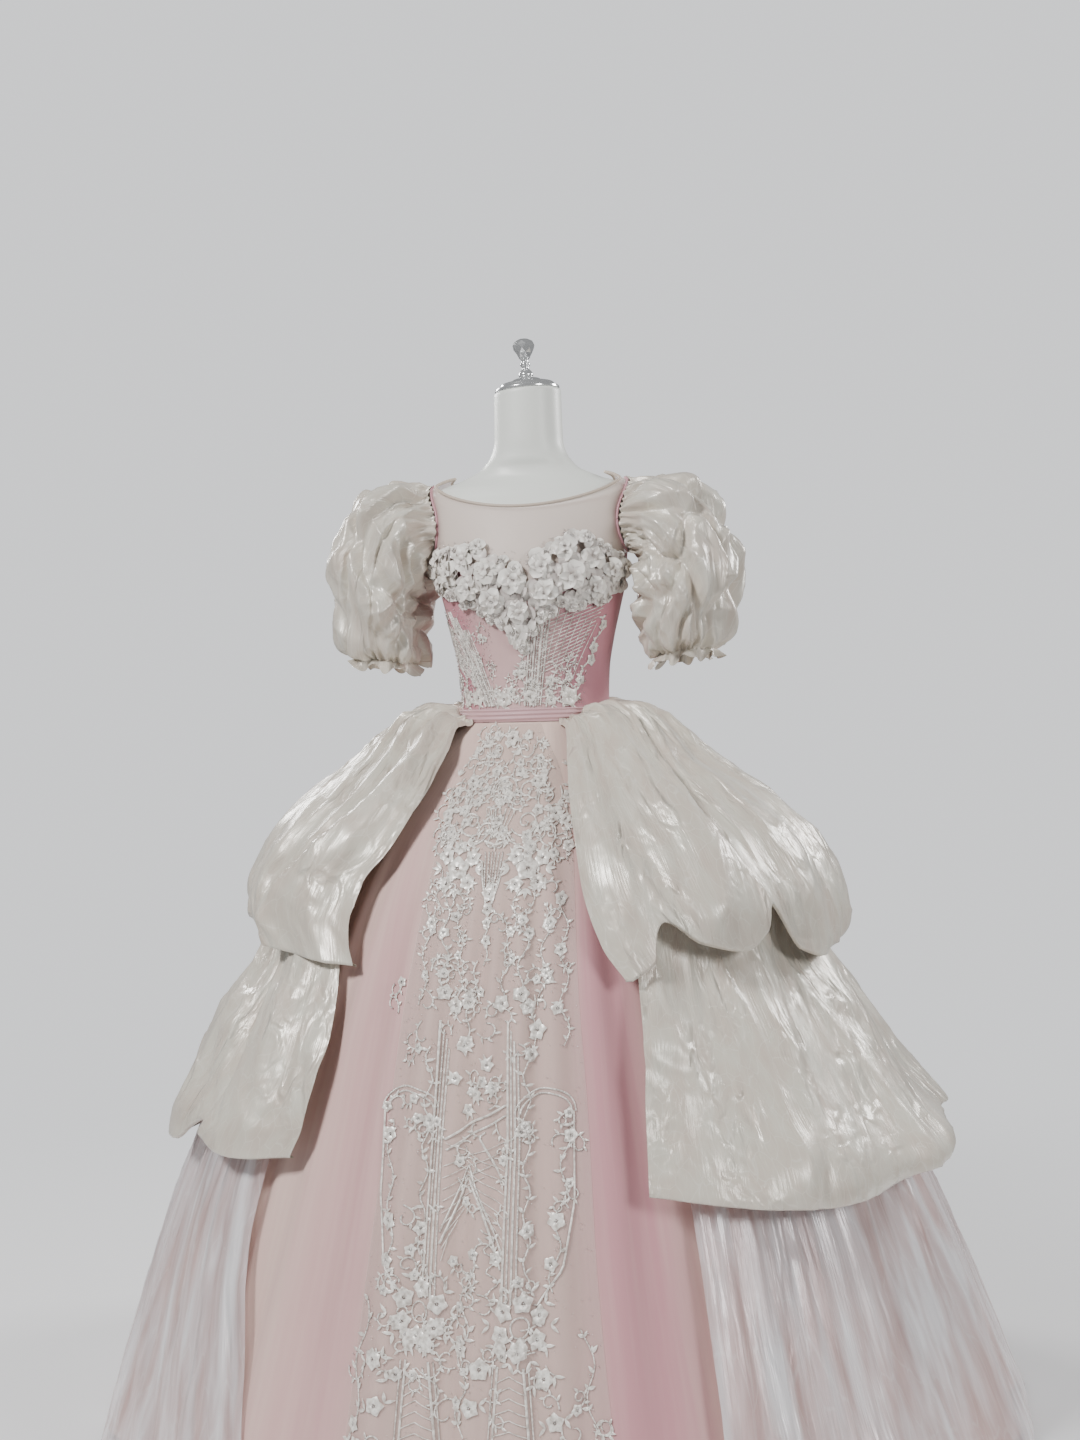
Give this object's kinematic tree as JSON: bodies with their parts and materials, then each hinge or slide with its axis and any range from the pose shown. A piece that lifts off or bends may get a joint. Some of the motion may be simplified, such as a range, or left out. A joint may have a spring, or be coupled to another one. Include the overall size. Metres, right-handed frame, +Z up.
{
  "type": "ball gown on dress form",
  "caption": "full-length ball gown with puff sleeves, floral bust applique, lace front panel and open-fronted organza tiers, on a headless dress form with a round stand",
  "frame": {"origin": "centre of the stand base's flat underside, where the part rests on the floor", "axes": "+Z up along the stand, the gown's front faces -Y, the wearer's left side is +X"},
  "size_m": [1.4442, 1.435, 1.674],
  "materials": {
    "form_satin": "smooth satin white",
    "silver": "polished silver",
    "stand_paint": "white enamel",
    "yoke_mesh": "sheer fine mesh",
    "neck_satin": "narrow satin binding",
    "armhole_satin": "narrow pink piping",
    "bodice_satin": "pink satin under tulle",
    "waist_satin": "pink satin band",
    "silver_lace": "corded lace with beads and sequins",
    "flower_petals": "white cut petals with beaded hearts",
    "pearl_organza": "crisp pearly liquid organza",
    "sheer_organza": "sheer iridescent crinkled organza",
    "cream_tulle": "tulle over cream lining",
    "pink_tulle": "pink shaded tulle",
    "blush_tulle": "blush tulle over lining"
  },
  "bodies": {
    "root": {"form_torso": "form_satin", "form_neck_cap": "silver", "form_finial": "silver", "stand_base": "stand_paint", "stand_pole": "stand_paint", "yoke_front": "yoke_mesh", "yoke_back_left": "yoke_mesh", "yoke_back_right": "yoke_mesh", "neck_binding": "neck_satin", "armhole_piping_left": "armhole_satin", "armhole_piping_right": "armhole_satin", "bodice_front": "bodice_satin", "bodice_side_front_left": "bodice_satin", "bodice_side_front_right": "bodice_satin", "bodice_back_left": "bodice_satin", "bodice_back_right": "bodice_satin", "waistband": "waist_satin", "skirt_lace": "silver_lace", "bodice_lace": "silver_lace", "bust_flowers": "flower_petals", "sleeve_left": "pearl_organza", "sleeve_right": "pearl_organza", "sleeve_frill_left": "pearl_organza", "sleeve_frill_right": "pearl_organza", "upper_tier_left": "pearl_organza", "upper_tier_right": "pearl_organza", "lower_tier_left": "pearl_organza", "lower_tier_right": "pearl_organza", "sheer_overlay_left": "sheer_organza", "sheer_overlay_right": "sheer_organza", "skirt_front": "cream_tulle", "skirt_side_front_left": "pink_tulle", "skirt_side_front_right": "pink_tulle", "skirt_side_left": "blush_tulle", "skirt_side_right": "blush_tulle", "skirt_back_left": "blush_tulle", "skirt_back_right": "blush_tulle"}
  },
  "joints": []
}
